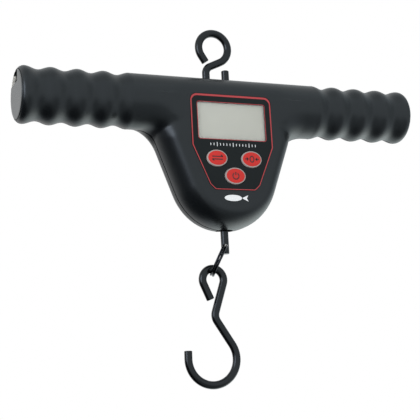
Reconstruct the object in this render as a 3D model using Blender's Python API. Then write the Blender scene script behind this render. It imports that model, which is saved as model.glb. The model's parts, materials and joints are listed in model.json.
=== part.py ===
"""A hanging digital fish scale with a T-bar handle.

Sizes are in millimetres about the handle's axis: X runs along the handle, Y from front to back and
Z up. The finished objects are in metres, with the world's origin inside the top hook's eye, where
the scale is hung.
"""

import math

import bmesh
import bpy
from mathutils import Matrix, Vector

METRES = 0.001
FIT = 0.3  # gap between neighbouring pieces

# The load line runs from the top hook through the load cell to the pull rod.
LOAD_Y = 4.5
HANG_POINT = Vector((0, LOAD_Y, 41.6))

# Housing: a shield under a round handle, split into a front and a rear shell.
BAR_R = 15.0
WALL = 2.2
SPLIT_Y = 3.0
FRONT_Y, BACK_Y = -14.0, 13.8
FRONT_ROUND, BACK_ROUND = 9.9, 8.0
SHOULDER_Z, SHOULDER_W, TAPER = -21.0, 38.3, 0.371
CHEEK_Z, BOTTOM_Z = -49.0, -68.7
SHIELD_TOP_Z = 2.0
CORNER_FILLET = 11.0

# The handle's ends are ribbed. End caps, tubes and cells lie inside them.
WAVE_MEAN, WAVE_DEPTH, WAVE_PITCH, WAVE_CREST_X = 14.25, 0.85, 14.1, 68.0
WAVE_START = WAVE_CREST_X - WAVE_PITCH
HANDLE_END, END_ROUND, LIP_R = 113.3, 3.0, 13.8
HANDLE_BORE, BORE_START = 11.6, 47.0
TUBE_R = 11.2
CAP_START, CAP_FACE, CAP_R = 111.6, 113.6, 13.0
CELL_R, CELL_START, CELL_END = 7.1, 60.9, 109.0

# Face: panel, display and keys.
PANEL_T = 1.0
PANEL_W, PANEL_BOTTOM_W = 23.5, 11.5
PANEL_TOP_Z, PANEL_WAIST_Z, PANEL_BOTTOM_Z = 2.6, -25.6, -49.6
PANEL_CUT_W, PANEL_CUT_Z = 14.45, -46.75  # where the lower corner is cut off
WINDOW_W, WINDOW_TOP_Z, WINDOW_BOTTOM_Z = 19.55, -1.9, -22.05
LENS_T, GLASS_T = 1.2, 1.8
BOARD_FRONT, BOARD_BACK = -7.3, -5.7
BOARD_SCREW_X, BOARD_SCREW_Z = 18.2, -28.8
KEY_W, KEY_H, KEY_PROUD = 5.9, 4.5, 1.2
KEYS = {"unit": (-9.96, -32.7), "tare": (9.96, -32.7), "power": (0.0, -42.1)}

# Wire pieces.
HOOK_R = 2.15
ROD_R, ROD_TOP_Z, ROD_END_Z, ROD_HOLE_Z, ROD_HOLE_R = 2.15, -29.6, -81.0, -76.6, 1.7
RING_R, RING_WIRE_R, RING_STEP = 8.67, 0.65, 1.36
RING_TURN, RING_LEAN = math.radians(-19.4), math.radians(27)
EYE_R, EYE_DROP, EYE_ASIDE = 6.05, 14.1, -1.2
J_CENTRE_Z, J_R = 8.3, 5.8
PIVOT_Z = J_CENTRE_Z - J_R

COLOURS = {
    "black_plastic": ((0.012, 0.012, 0.013), 0.38, 0.0),
    "black_rubber": ((0.015, 0.015, 0.016), 0.6, 0.0),
    "panel_black": ((0.010, 0.013, 0.012), 0.25, 0.0),
    "key_red": ((0.68, 0.04, 0.025), 0.35, 0.0),
    "clear_plastic": ((0.9, 0.9, 0.9), 0.05, 0.0),
    "display_grey": ((0.48, 0.5, 0.44), 0.3, 0.0),
    "board_green": ((0.02, 0.16, 0.06), 0.45, 0.0),
    "black_enamel": ((0.014, 0.014, 0.015), 0.3, 0.0),
    "spring_steel": ((0.2, 0.2, 0.21), 0.3, 1.0),
    "machined_aluminium": ((0.72, 0.73, 0.74), 0.3, 1.0),
    "zinc_steel": ((0.6, 0.61, 0.63), 0.3, 1.0),
    "brass": ((0.75, 0.55, 0.22), 0.3, 1.0),
    "cell_wrap": ((0.05, 0.09, 0.22), 0.35, 0.0),
    "gauge_foil": ((0.7, 0.42, 0.12), 0.4, 0.0),
    "red_lead": ((0.6, 0.03, 0.02), 0.5, 0.0),
    "black_lead": ((0.02, 0.02, 0.02), 0.5, 0.0),
    "white_lead": ((0.75, 0.75, 0.72), 0.5, 0.0),
}


def material(slot):
    found = bpy.data.materials.get(slot)
    if found:
        return found
    colour, roughness, metallic = COLOURS[slot]
    made = bpy.data.materials.new(slot)
    made.use_nodes = True
    shader = made.node_tree.nodes["Principled BSDF"]
    shader.inputs["Base Color"].default_value = (*colour, 1)
    shader.inputs["Roughness"].default_value = roughness
    shader.inputs["Metallic"].default_value = metallic
    return made


def finish(obj, slot, pivot):
    """Puts an object, whose shape is in millimetres about the pivot, in its place in metres."""
    obj.data.materials.append(material(slot))
    obj.location = (Vector(pivot) - HANG_POINT) * METRES
    bpy.context.scene.collection.objects.link(obj)
    return obj


def solid(name, bm, slot, pivot=(0, 0, 0)):
    """Makes an object of a bmesh drawn in millimetres. Its origin is at the pivot."""
    bmesh.ops.remove_doubles(bm, verts=bm.verts, dist=1e-4)
    bmesh.ops.recalc_face_normals(bm, faces=bm.faces)
    bmesh.ops.translate(bm, verts=bm.verts, vec=-Vector(pivot))
    bmesh.ops.scale(bm, verts=bm.verts, vec=(METRES, METRES, METRES))
    mesh = bpy.data.meshes.new(name)
    bm.to_mesh(mesh)
    bm.free()
    mesh.shade_smooth()
    mesh.set_sharp_from_angle(angle=math.radians(35))
    return finish(bpy.data.objects.new(name, mesh), slot, pivot)


def cutter(name, bm, pivot=(0, 0, 0)):
    obj = solid(name, bm, "black_plastic", pivot)
    obj.hide_render = True
    obj.display_type = "WIRE"
    return obj


def combine(obj, other, operation="DIFFERENCE"):
    step = obj.modifiers.new(other.name, "BOOLEAN")
    step.operation = operation
    step.object = other
    step.solver = "EXACT"
    other.hide_render = True
    other.display_type = "WIRE"


def turned(profile, steps=32, axis="X", centre=(0, 0, 0)):
    """Spins a closed outline of (along the axis, radius) points about a line through the centre."""
    bm = bmesh.new()
    verts = [bm.verts.new((along, radius, 0)) for along, radius in profile]
    for first, second in zip(verts, verts[1:] + verts[:1]):
        if first.co.y > 0 or second.co.y > 0:
            bm.edges.new((first, second))
    geometry = bm.verts[:] + bm.edges[:]
    bmesh.ops.spin(
        bm, geom=geometry, cent=(0, 0, 0), axis=(1, 0, 0), angle=math.tau, steps=steps, use_merge=True
    )
    turn = {
        "X": Matrix.Identity(3),
        "Y": Matrix.Rotation(math.pi / 2, 3, "Z"),
        "Z": Matrix.Rotation(-math.pi / 2, 3, "Y"),
    }[axis]
    bmesh.ops.rotate(bm, verts=bm.verts, cent=(0, 0, 0), matrix=turn)
    bmesh.ops.translate(bm, verts=bm.verts, vec=centre)
    return bm


def rod(low, high, radius, axis, centre, steps=20):
    return turned([(low, 0), (low, radius), (high, radius), (high, 0)], steps, axis, centre)


def plate(outline, y_low, y_high):
    """Extrudes an outline of (x, z) points from y_low to y_high."""
    bm = bmesh.new()
    verts = [bm.verts.new((x, y_low, z)) for x, z in outline]
    face = bm.faces.new(verts)
    pulled = bmesh.ops.extrude_face_region(bm, geom=[face])
    moved = [item for item in pulled["geom"] if isinstance(item, bmesh.types.BMVert)]
    bmesh.ops.translate(bm, verts=moved, vec=(0, y_high - y_low, 0))
    return bm


def block(x, y, z):
    """A box between two values along each axis."""
    return plate([(x[0], z[0]), (x[1], z[0]), (x[1], z[1]), (x[0], z[1])], *y)


def oval(centre_x, centre_z, half_width, half_height, steps=24):
    turns = [math.tau * k / steps for k in range(steps)]
    return [(centre_x + half_width * math.cos(a), centre_z + half_height * math.sin(a)) for a in turns]


def rounded(corners, radii, steps=3):
    """An (x, z) outline with each corner replaced by an arc of its own radius."""
    points = []
    befores, afters = corners[-1:] + corners[:-1], corners[1:] + corners[:1]
    for before, here, after, radius in zip(befores, corners, afters, radii):
        here = Vector(here)
        to_before, to_after = (Vector(before) - here).normalized(), (Vector(after) - here).normalized()
        half = to_before.angle(to_after) / 2
        middle = here + (to_before + to_after).normalized() * radius / math.sin(half)
        start = here + to_before * radius / math.tan(half) - middle
        sweep = start.angle_signed(here + to_after * radius / math.tan(half) - middle)
        for k in range(steps + 1):
            points.append(tuple(middle + Matrix.Rotation(-sweep * k / steps, 2) @ start))
    return points


def mirrored(right):
    """A whole outline from its right half, which runs from the top to the bottom."""
    return right + [(-x, z) for x, z in reversed(right) if x > 1e-6]


# Housing ---------------------------------------------------------------------------------------


def shield_half(inset):
    """The right half of the shield's outline: straight cheeks, then a round chin."""
    lean = Vector((-TAPER, -1)).normalized()
    cheek = Vector((SHOULDER_W - TAPER * (SHOULDER_Z - CHEEK_Z), CHEEK_Z))
    handles = cheek, cheek + 12.0 * lean, Vector((14.0, BOTTOM_Z)), Vector((0, BOTTOM_Z))
    chin, steps = [], 8
    for k in range(steps + 1):
        t = k / steps
        weights = (1 - t) ** 3, 3 * t * (1 - t) ** 2, 3 * t * t * (1 - t), t**3
        slopes = -3 * (1 - t) ** 2, 3 * (1 - t) * (1 - 3 * t), 3 * t * (2 - 3 * t), 3 * t * t
        point = sum((w * h for w, h in zip(weights, handles)), Vector((0, 0)))
        along = sum((s * h for s, h in zip(slopes, handles)), Vector((0, 0))).normalized()
        inward = Vector((along.y, -along.x))
        chin.append(tuple(point + inset * inward))
    top_z = SHIELD_TOP_Z - inset
    top_x = chin[0][0] + TAPER * (top_z - chin[0][1])
    return [(top_x, top_z), *chin[:-1], (0, BOTTOM_Z + inset)]


def shield(inset):
    """The shield as stacked outlines. Its front is a half ellipse and its back edge is rounded."""
    front_depth = SPLIT_Y - FRONT_Y - inset
    back_round = BACK_ROUND - inset
    levels = []
    for angle in (90, 60, 30, 0):
        shrink = (FRONT_ROUND - inset / 2) * (1 - math.cos(math.radians(angle)))
        levels.append((SPLIT_Y - front_depth * math.sin(math.radians(angle)), shrink))
    for angle in (0, 45, 90):
        shrink = back_round * (1 - math.cos(math.radians(angle)))
        levels.append((BACK_Y - BACK_ROUND + back_round * math.sin(math.radians(angle)), shrink))
    bm = bmesh.new()
    rings = []
    for y, shrink in levels:
        rings.append([bm.verts.new((x, y, z)) for x, z in mirrored(shield_half(inset + shrink))])
    bm.faces.new(rings[0])
    bm.faces.new(rings[-1])
    count = len(rings[0])
    for near, far in zip(rings, rings[1:]):
        for k in range(count):
            bm.faces.new((near[k], near[(k + 1) % count], far[(k + 1) % count], far[k]))
    return bm


def gusset(side):
    """The fillet in the corner between bar and shield."""
    lean = Vector((-TAPER, -1)).normalized()
    corner = Vector((SHOULDER_W + TAPER * (-BAR_R - SHOULDER_Z), -BAR_R))
    reach = CORNER_FILLET / math.tan(math.radians(90) / 2 + lean.angle(Vector((0, -1))) / 2)
    centre = Vector((corner.x + reach, -BAR_R - CORNER_FILLET))
    steps = 5
    sweep = math.pi / 2 - lean.angle(Vector((0, -1)))
    outline = [(corner.x - 6, -10.0), (centre.x, -10.0)]
    for k in range(steps + 1):
        angle = math.pi / 2 + sweep * k / steps
        outline.append(tuple(centre + CORNER_FILLET * Vector((math.cos(angle), math.sin(angle)))))
    outline.append((outline[-1][0] - 6, outline[-1][1]))
    return plate([(side * x, z) for x, z in outline], -4.4, 5.6)


def handle():
    """The round handle. Its ends are ribbed, and rounded over outside the last crest."""
    steps = 24
    last_crest = HANDLE_END - END_ROUND
    half = []
    for k in range(steps + 1):
        x = WAVE_START + (last_crest - WAVE_START) * k / steps
        wave = math.cos(math.tau * (x - WAVE_CREST_X) / WAVE_PITCH)
        half.append((x, WAVE_MEAN + WAVE_DEPTH * wave))
    half[0] = (WAVE_START, BAR_R)
    crest_r = half[-1][1]
    for angle in map(math.radians, (30, 60, 90)):
        x = last_crest + END_ROUND * math.sin(angle)
        half.append((x, LIP_R + (crest_r - LIP_R) * math.cos(angle)))
    profile = [(-HANDLE_END, 0)] + [(-x, r) for x, r in reversed(half)] + half + [(HANDLE_END, 0)]
    return turned(profile, 28)


def bar(radius, end):
    return rod(-end, end, radius, "X", (0, 0, 0), 28)


def screw_places():
    """Where the shells are screwed together, as (x, z)."""
    return [(-25.5, -18.0), (25.5, -18.0), (-9.5, -55.0), (9.5, -55.0)]


def shell_body(name):
    shell = solid(name, shield(0), "black_plastic")
    for label, shape in (("handle", handle()), ("gusset_l", gusset(-1)), ("gusset_r", gusset(1))):
        combine(shell, cutter(f"{name}_{label}", shape), "UNION")
    combine(shell, cutter(f"{name}_hollow", shield(WALL)))
    combine(shell, cutter(f"{name}_handle_hollow", bar(BAR_R - WALL, BORE_START)))
    combine(shell, cutter(f"{name}_bore", bar(HANDLE_BORE, HANDLE_END + 5)))
    for side in (-1, 1):
        near, far = sorted((side * (CAP_START - 0.3), side * (HANDLE_END + 5)))
        seat = rod(near, far, CAP_R + FIT, "X", (0, 0, 0), 28)
        combine(shell, cutter(f"{name}_cap_seat_{side}", seat))
    return shell


def cut_load_openings(shell):
    slot = block((-10, 10), (LOAD_Y - 3.7, LOAD_Y + 3.7), (6, 20))
    combine(shell, cutter(f"{shell.name}_slot", slot))
    hole = rod(-75, -60, 4.9, "Z", (0, LOAD_Y, 0), 24)
    combine(shell, cutter(f"{shell.name}_rod_hole", hole))


def panel_outline(grow=0.0):
    half = [
        (PANEL_W + grow, PANEL_TOP_Z + grow),
        (PANEL_W + grow, PANEL_WAIST_Z),
        (PANEL_CUT_W + grow, PANEL_CUT_Z),
        (PANEL_BOTTOM_W + grow / 2, PANEL_BOTTOM_Z - grow),
    ]
    corners = half + [(-x, z) for x, z in reversed(half)]
    return rounded(corners, [3.8, 2.0, 1.6, 1.6, 1.6, 1.6, 2.0, 3.8])


def window_outline(grow=0.0):
    left, right = -WINDOW_W - grow, WINDOW_W + grow
    low, high = WINDOW_BOTTOM_Z - grow, WINDOW_TOP_Z + grow
    return rounded([(right, high), (right, low), (left, low), (left, high)], [1.0] * 4)


def front_shell():
    shell = shell_body("front_shell")
    for x, z in screw_places():
        boss = rod(FRONT_Y + WALL - 0.8, SPLIT_Y - 0.5, 3.0, "Y", (x, 0, z), 16)
        combine(shell, cutter(f"front_boss_{x}_{z}", boss), "UNION")
        hole = rod(-8, SPLIT_Y + 2, 1.6, "Y", (x, 0, z), 12)
        combine(shell, cutter(f"front_screw_hole_{x}_{z}", hole))
    for side in (-1, 1):
        centre = (side * BOARD_SCREW_X, 0, BOARD_SCREW_Z)
        boss = rod(FRONT_Y + WALL - 0.8, -7.5, 2.3, "Y", centre, 12)
        combine(shell, cutter(f"board_boss_{side}", boss), "UNION")
        hole = rod(-11.2, -5, 1.1, "Y", centre, 10)
        combine(shell, cutter(f"board_screw_hole_{side}", hole))
    recess = plate(panel_outline(FIT), FRONT_Y - 4, FRONT_Y + PANEL_T + 0.2)
    combine(shell, cutter("panel_recess", recess))
    display = plate(window_outline(1.3), FRONT_Y - 1, FRONT_Y + 5)
    combine(shell, cutter("display_opening", display))
    for key, (x, z) in KEYS.items():
        opening = plate(oval(x, z, KEY_W + FIT, KEY_H + FIT), FRONT_Y - 1, FRONT_Y + 5)
        combine(shell, cutter(f"{key}_opening", opening))
    cut_load_openings(shell)
    combine(shell, cutter("behind_the_split", block((-130, 130), (SPLIT_Y - FIT / 2, 40), (-90, 40))))


def rear_shell():
    shell = shell_body("rear_shell")
    for x, z in screw_places():
        boss = rod(SPLIT_Y + 0.2, BACK_Y - WALL + 0.8, 4.0, "Y", (x, 0, z), 16)
        combine(shell, cutter(f"rear_boss_{x}_{z}", boss), "UNION")
        stepped = [(-5, 0), (-5, 1.7), (10.4, 1.7), (10.4, 3.2), (20, 3.2), (20, 0)]
        hole = turned(stepped, 16, "Y", (x, 0, z))
        combine(shell, cutter(f"rear_screw_hole_{x}_{z}", hole))
    for side in (-1, 1):
        boss = rod(9.8, BACK_Y - WALL + 0.8, 3.0, "Y", (side * 9.4, 0, -5.6), 14)
        combine(shell, cutter(f"cell_boss_{side}", boss), "UNION")
        hole = rod(5, 12.6, 1.7, "Y", (side * 9.4, 0, -5.6), 12)
        combine(shell, cutter(f"cell_boss_hole_{side}", hole))
    cut_load_openings(shell)
    combine(shell, cutter("ahead_of_the_split", block((-130, 130), (-40, SPLIT_Y + FIT / 2), (-90, 40))))


def screw(name, x, z, head_y, tip_y, head_r, shank_r):
    """A cross-head screw along Y. Its head is at head_y and its tip at tip_y."""
    toward_tip = 1 if tip_y > head_y else -1
    shoulder = head_y + 1.8 * toward_tip
    profile = [(head_y, 0), (head_y, head_r), (shoulder, head_r), (shoulder, shank_r)]
    profile += [(tip_y - toward_tip, shank_r), (tip_y, 0.4), (tip_y, 0)]
    body = solid(name, turned(profile, 14, "Y", (x, 0, z)), "zinc_steel")
    low, high = sorted((head_y - toward_tip, head_y + 0.9 * toward_tip))
    for turn, (wide, tall) in enumerate(((head_r * 0.6, 0.35), (0.35, head_r * 0.6))):
        slot = block((x - wide, x + wide), (low, high), (z - tall, z + tall))
        combine(body, cutter(f"{name}_slot_{turn}", slot))


# Handle ----------------------------------------------------------------------------------------


def battery_tube(name, side):
    """A liner in the handle's end, with a web at the bottom of the cell's space."""
    points = [(48, TUBE_R), (105.5, TUBE_R), (105.5, 7.6), (56, 7.6)]
    points += [(56, 0), (54, 0), (54, 9.6), (48, 9.6)]
    solid(name, turned([(side * x, r) for x, r in points], 24), "black_plastic")


def cell(name, side):
    """The cell's terminal end points out, towards the end cap."""
    points = [(CELL_START, 0), (CELL_START, CELL_R), (CELL_END, CELL_R), (CELL_END, 2.7)]
    points += [(CELL_END + 1, 2.7), (CELL_END + 1, 0)]
    solid(name, turned([(side * x, r) for x, r in points], 20), "cell_wrap")


def wire(name, points, radius, slot, sides=2, pivot=(0, 0, 0)):
    """A round wire along points in millimetres, with flat ends."""
    curve = bpy.data.curves.new(name, "CURVE")
    curve.dimensions = "3D"
    curve.bevel_depth = radius * METRES
    curve.bevel_resolution = sides
    curve.use_fill_caps = True
    spline = curve.splines.new("POLY")
    spline.points.add(len(points) - 1)
    for place, point in zip(spline.points, points):
        place.co = (*((Vector(point) - Vector(pivot)) * METRES), 1)
    return finish(bpy.data.objects.new(name, curve), slot, pivot)


def contact_spring(name, side):
    """A conical spring between the tube's web and the cell."""
    turns, steps = 3, 10
    points = []
    for k in range(turns * steps + 1):
        part = k / (turns * steps)
        angle, radius = math.tau * turns * part, 5.6 - 2.2 * part
        points.append((side * (56.8 + 3.5 * part), radius * math.cos(angle), radius * math.sin(angle)))
    wire(name, points, 0.35, "spring_steel", sides=1)


def end_cap(name, side):
    """A push-in cap that sits flush in the handle's end, with a nail notch in its upper back rim."""
    plug_end, plug_r, bore_r = 106.5, 10.8, 9.4
    points = [(CAP_START, CAP_R), (CAP_START, plug_r), (plug_end, plug_r), (plug_end, bore_r)]
    points += [(CAP_START - 0.1, bore_r), (CAP_START - 0.1, 0), (CAP_FACE, 0)]
    points += [(CAP_FACE, CAP_R - 0.3), (CAP_FACE - 0.3, CAP_R)]
    cap = solid(name, turned([(side * x, r) for x, r in points], 32), "black_plastic")
    near, far = sorted((side * (CAP_START + 0.4), side * (CAP_FACE + 1)))
    combine(cap, cutter(f"{name}_notch", block((near, far), (-2.8, 16), (6.3, 16))))


def cap_seal(name, side):
    steps = 6
    middle_x, middle_r, thick = 108.6, 11.28, 0.24
    points = []
    for k in range(steps):
        angle = math.tau * k / steps
        points.append((side * (middle_x + 1.1 * math.cos(angle)), middle_r + thick * math.sin(angle)))
    solid(name, turned(points, 22), "black_rubber")


def contact_plate(name, side):
    near, far = sorted((side * 110.4, side * 111.2))
    solid(name, rod(near, far, 5.0, "X", (0, 0, 0), 16), "brass")


# Face ------------------------------------------------------------------------------------------


def face_panel():
    panel = solid("face_panel", plate(panel_outline(), FRONT_Y, FRONT_Y + PANEL_T), "panel_black")
    window = plate(window_outline(), FRONT_Y - 2, FRONT_Y + 3)
    combine(panel, cutter("panel_window", window))
    for key, (x, z) in KEYS.items():
        opening = plate(oval(x, z, KEY_W + FIT, KEY_H + FIT), FRONT_Y - 2, FRONT_Y + 3)
        combine(panel, cutter(f"{key}_panel_opening", opening))


def display():
    """The lens fills the panel's window. The glass lies behind it, on strips that reach the board."""
    lens_y = FRONT_Y + 0.1
    lens = plate(window_outline(-0.15), lens_y, lens_y + LENS_T)
    solid("display_lens", lens, "clear_plastic")
    glass_y = lens_y + LENS_T + 0.2
    glass = plate(window_outline(0.9), glass_y, glass_y + GLASS_T)
    solid("display_glass", glass, "display_grey")
    ends_y = glass_y + GLASS_T + 0.1, BOARD_FRONT - 0.2
    for name, top_z in (("upper", WINDOW_TOP_Z - 0.6), ("lower", WINDOW_BOTTOM_Z + 2.6)):
        solid(f"{name}_zebra_strip", block((-17, 17), ends_y, (top_z - 2, top_z)), "black_rubber")


def circuit_board():
    half = [(21.5, 1.0), (21.5, -31.5), (12.5, -50.5)]
    outline = rounded(half + [(-x, z) for x, z in reversed(half)], [1.5] * 6)
    board = solid("circuit_board", plate(outline, BOARD_FRONT, BOARD_BACK), "board_green")
    for side in (-1, 1):
        hole = rod(-12, 0, 1.5, "Y", (side * BOARD_SCREW_X, 0, BOARD_SCREW_Z), 12)
        combine(board, cutter(f"board_hole_{side}", hole))
    chip = block((-5, 5), (BOARD_BACK + 0.1, BOARD_BACK + 1.5), (-20, -10))
    solid("controller_chip", chip, "panel_black")


def key_and_switch(key, x, z):
    """A key cap that slides in through the face, and the switch behind it."""
    front, wall_back = FRONT_Y - KEY_PROUD, FRONT_Y + WALL
    bm = bmesh.new()
    rings = (
        (front, -1.0), (front + 0.25, -0.35), (front + 0.9, 0.0), (wall_back + FIT, 0.0),
        (wall_back + FIT, 0.9), (wall_back + FIT + 0.8, 0.9), (wall_back + FIT + 0.8, -3.0),
        (wall_back + FIT + 1.2, -3.0),
    )
    loops = []
    for y, grow in rings:
        loops.append([bm.verts.new((px, y, pz)) for px, pz in oval(x, z, KEY_W + grow, KEY_H + grow)])
    bm.faces.new(loops[0])
    bm.faces.new(loops[-1])
    for near, far in zip(loops, loops[1:]):
        for k in range(len(near)):
            n = (k + 1) % len(near)
            bm.faces.new((near[k], near[n], far[n], far[k]))
    solid(f"{key}_key", bm, "key_red", (x, FRONT_Y, z))
    switch = block((x - 2.5, x + 2.5), (BOARD_FRONT - 2.0, BOARD_FRONT - 0.1), (z - 2.5, z + 2.5))
    solid(f"{key}_switch", switch, "zinc_steel")


# Load path -------------------------------------------------------------------------------------

CELL_FRONT, CELL_BACK = LOAD_Y - 5, LOAD_Y + 5


def load_cell():
    """An S-shaped beam. The hook runs through its tongue, and the rod through its foot."""
    outline = [
        (-2, 8.0), (2, 8.0), (2, -2), (13, -2), (13, -10), (-8, -10), (-8, -11.6), (13, -11.6),
        (13, -38), (-13, -38), (-13, -28.6), (-6, -28.6), (-6, -33.6), (6, -33.6), (6, -28.6),
        (8, -28.6), (8, -27), (-13, -27), (-13, -2), (-2, -2),
    ]
    beam = solid("load_cell", plate(outline, CELL_FRONT, CELL_BACK), "machined_aluminium")
    tongue_hole = rod(-6, 6, 3.0, "X", (0, LOAD_Y, PIVOT_Z + 0.3), 20)
    combine(beam, cutter("tongue_hole", tongue_hole))
    combine(beam, cutter("flexure_hole", rod(-6, 16, 5.2, "Y", (0, 0, -19.3), 24)))
    combine(beam, cutter("foot_hole", rod(-45, -32, ROD_R + FIT, "Z", (0, LOAD_Y, 0), 20)))
    for side in (-1, 1):
        hole = rod(-6, 16, 1.8, "Y", (side * 9.4, 0, -5.6), 12)
        combine(beam, cutter(f"cell_screw_hole_{side}", hole))
    for name, z in (("upper_strain_gauge", -12.5), ("lower_strain_gauge", -25.6)):
        gauge = block((-4, 4), (CELL_FRONT - 0.5, CELL_FRONT - 0.1), (z - 0.8, z + 0.8))
        solid(name, gauge, "gauge_foil")


def pull_rod():
    """A round rod with a cross hole near its lower end. It turns in the load cell's foot."""
    profile = [(ROD_END_Z, 0), (ROD_END_Z, ROD_R - 0.3), (ROD_END_Z + 0.3, ROD_R)]
    profile += [(ROD_TOP_Z, ROD_R), (ROD_TOP_Z, 0)]
    pivot = (0, LOAD_Y, ROD_HOLE_Z)
    body = solid("pull_rod", turned(profile, 20, "Z", (0, LOAD_Y, 0)), "black_enamel", pivot)
    hole = rod(-6, 6, ROD_HOLE_R, "Y", (0, 0, 0), 16)
    turn = Matrix.Rotation(RING_TURN, 3, "Z")
    bmesh.ops.rotate(hole, verts=hole.verts, cent=(0, 0, 0), matrix=turn)
    bmesh.ops.translate(hole, verts=hole.verts, vec=pivot)
    combine(body, cutter("cross_hole", hole, pivot))
    washer = [(-33.2, ROD_R + 0.25), (-33.2, 4.3), (-32.6, 4.3), (-32.6, ROD_R + 0.25)]
    solid("rod_washer", turned(washer, 20, "Z", (0, LOAD_Y, 0)), "zinc_steel", pivot)
    nut = solid("rod_nut", rod(-32.4, -29.9, 4.2, "Z", (0, LOAD_Y, 0), 6), "zinc_steel", pivot)
    combine(nut, cutter("nut_hole", rod(-34, -28, ROD_R + 0.1, "Z", (0, LOAD_Y, 0))))
    bush = [(-67.0, ROD_R + FIT), (-67.0, 4.5), (-63.6, 4.5), (-63.6, 5.7)]
    bush += [(-62.2, 5.7), (-62.2, ROD_R + FIT)]
    solid("rod_bush", turned(bush, 24, "Z", (0, LOAD_Y, 0)), "black_rubber")


def bent_wire(start, pins, end, step=math.radians(14)):
    """The middle of a wire that runs from start to end round pins of (x, z, radius, turn).

    A turn of 1 is anticlockwise and -1 clockwise. The wire leaves each pin on a straight line that
    touches the next one.
    """
    stops = [(*start, 0, 1), *pins, (*end, 0, 1)]
    headings = []
    for (x, z, radius, turn), (next_x, next_z, next_radius, next_turn) in zip(stops, stops[1:]):
        across = Vector((next_x - x, next_z - z))
        offset = (next_turn * next_radius - turn * radius) / across.length
        headings.append(math.atan2(across.y, across.x) - math.asin(offset))
    points = [start]
    for (x, z, radius, turn), arrive, leave in zip(pins, headings, headings[1:]):
        swept = (leave - arrive) * turn % math.tau
        count = max(2, math.ceil(swept / step))
        for k in range(count + 1):
            heading = arrive + turn * swept * k / count
            points.append((x + turn * radius * math.sin(heading), z - turn * radius * math.cos(heading)))
    return points + [end]


def top_hook():
    """The eye is at the top. The lower bend runs through the load cell's tongue."""
    pins = [(-0.6, 35.2, 8.7, -1), (-1.3, 20.3, 4.5, 1), (0, J_CENTRE_Z, J_R, 1)]
    path = bent_wire((-5.6, 26.8), pins, (J_R, 22.4))
    wire("top_hook", [(x, LOAD_Y, z) for x, z in path], HOOK_R, "black_enamel")


def ring_frame():
    """Turns the ring's own axes, where it hangs straight down facing +X, to its place."""
    return Matrix.Rotation(RING_TURN, 3, "Z") @ Matrix.Rotation(RING_LEAN, 3, "Y")


def split_ring():
    """Two turns of flat-lying wire, with its ends beside the place where it crosses over."""
    first, last, step = math.radians(28), math.radians(692), math.radians(16)
    count = round((last - first) / step)
    points = []
    for k in range(count + 1):
        angle = first + (last - first) * k / count
        crossing = min(1, max(0, (math.degrees(angle) - 334) / 52))
        aside = RING_STEP * (crossing * crossing * (3 - 2 * crossing) - 0.5)
        local = Vector((aside, RING_R * math.cos(angle), RING_R * math.sin(angle) - RING_R))
        points.append(ring_frame() @ local + Vector((0, LOAD_Y, ROD_HOLE_Z)))
    wire("split_ring", points, RING_WIRE_R, "spring_steel", pivot=(0, LOAD_Y, ROD_HOLE_Z))


def bottom_hook():
    """The eye hangs in the split ring, and the bowl is open to the left."""
    eye = Vector((0, LOAD_Y, ROD_HOLE_Z)) + ring_frame() @ Vector((EYE_ASIDE, 0, -EYE_DROP))
    bowl_r = 13.8
    pins = [(0, -EYE_R, EYE_R, -1), (6.2, -25.2, 6.0, 1), (-2.6, -48.25, bowl_r, -1)]
    path = bent_wire((-2.0, -16.75), pins, (-2.6 - bowl_r + 0.1, -43.75))
    points = [(eye.x + x, eye.y, eye.z + z) for x, z in path]
    wire("bottom_hook", points, HOOK_R, "black_enamel", pivot=eye)


def smooth_route(stops, per_span=4):
    """Points on a Catmull-Rom curve through the stops."""
    stops = [Vector(s) for s in (stops[0], *stops, stops[-1])]
    points = []
    for a, b, c, d in zip(stops, stops[1:], stops[2:], stops[3:]):
        for k in range(per_span):
            t = k / per_span
            squared, cubed = 2 * a - 5 * b + 4 * c - d, 3 * b - a - 3 * c + d
            points.append(0.5 * (2 * b + (c - a) * t + squared * t**2 + cubed * t**3))
    return points + [stops[-1]]


def leads():
    """One lead from each battery tube to the board, and one from the strain gauges."""
    for hand, side, slot in (("left", -1, "black_lead"), ("right", 1, "red_lead")):
        stops = [(47.4, -2, 0), (42, -4, -2), (30, -3, -1), (18, -5.0, 2.6)]
        route = smooth_route([(side * x, y, z) for x, y, z in stops])
        wire(f"{hand}_battery_lead", route, 0.6, slot)
    stops = [(4, -2.2, -26.5), (9, -2.4, -31), (12, -3.6, -36), (10, -4.9, -40)]
    wire("gauge_lead", smooth_route(stops), 0.6, "white_lead")


def build():
    for old in list(bpy.data.objects):
        bpy.data.objects.remove(old)
    front_shell()
    rear_shell()
    for number, (x, z) in enumerate(screw_places(), 1):
        screw(f"shell_screw_{number}", x, z, 12.6, -6.0, 2.9, 1.3)
    for number, side in enumerate((-1, 1), 1):
        board_spot = side * BOARD_SCREW_X, BOARD_SCREW_Z
        screw(f"board_screw_{number}", *board_spot, BOARD_BACK + 2.2, -10.4, 2.2, 0.85)
        screw(f"load_cell_screw_{number}", side * 9.4, -5.6, CELL_FRONT - 2.1, 12.0, 2.8, 1.4)
    for hand, side in (("left", -1), ("right", 1)):
        battery_tube(f"{hand}_battery_tube", side)
        cell(f"{hand}_cell", side)
        contact_spring(f"{hand}_contact_spring", side)
        end_cap(f"{hand}_end_cap", side)
        cap_seal(f"{hand}_cap_seal", side)
        contact_plate(f"{hand}_contact_plate", side)
    face_panel()
    display()
    circuit_board()
    for key, (x, z) in KEYS.items():
        key_and_switch(key, x, z)
    load_cell()
    pull_rod()
    top_hook()
    split_ring()
    bottom_hook()
    leads()


build()
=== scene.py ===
"""The looks of a hanging digital fish scale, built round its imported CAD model.

Shapes are drawn in millimetres about the handle's axis, as the CAD draws them: X along the handle,
Y from front to back, Z up. They are then put into the row frame, in metres.
"""

import json
import math

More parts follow.
